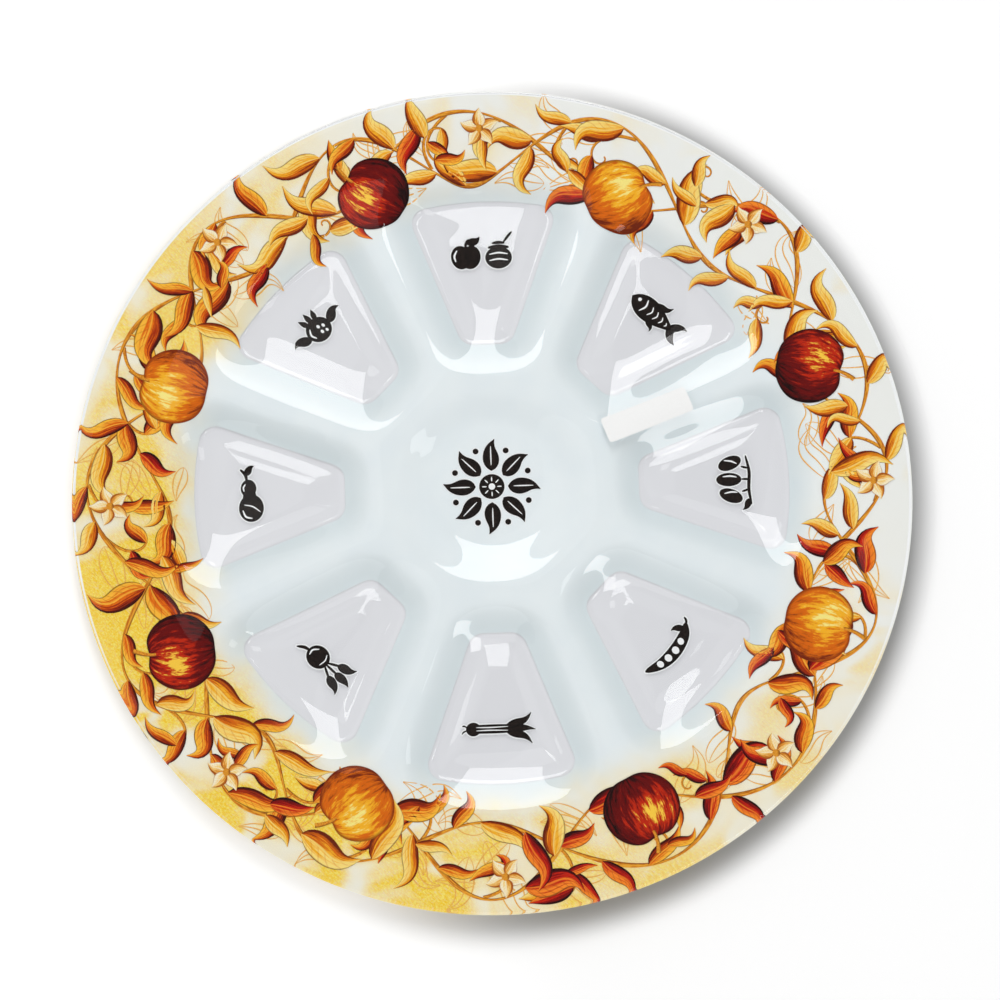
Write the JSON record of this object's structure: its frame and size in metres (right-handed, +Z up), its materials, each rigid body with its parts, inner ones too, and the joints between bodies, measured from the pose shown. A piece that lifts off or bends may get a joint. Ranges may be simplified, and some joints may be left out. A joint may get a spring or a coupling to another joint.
{
  "type": "rosh hashanah plate",
  "caption": "Round slumped clear glass plate with keystone wells round a shallow centre dish, a milky back coat, a printed fruit-and-leaf rim and a printed mark in each well.",
  "frame": {"origin": "on the table under the middle of the plate's round outline", "axes": "+Z up out of the wells, +Y along the middle of the well that is at the top of the picture, +X to its right"},
  "size_m": [0.33, 0.33, 0.014],
  "materials": {
    "clear_glass": "clear, fire polished, faint cool tint",
    "ground_enamel": "milky pale blue-white enamel, gold tinted at the rim",
    "border_enamel": "printed gold, amber and dark crimson enamel",
    "dark_ink": "dark brown print with a thin white edge",
    "label_paper": "smooth white label paper"
  },
  "bodies": {
    "root": {"glass_plate": "clear_glass", "ground_coat": "ground_enamel", "border_print": "border_enamel", "centre_mark": "dark_ink", "well_mark_dates": "dark_ink", "well_mark_fish": "dark_ink", "well_mark_apple_and_honey": "dark_ink", "well_mark_pomegranate": "dark_ink", "well_mark_gourd": "dark_ink", "well_mark_beet": "dark_ink", "well_mark_leek": "dark_ink", "well_mark_bean_pod": "dark_ink", "stock_label": "label_paper"}
  },
  "joints": []
}
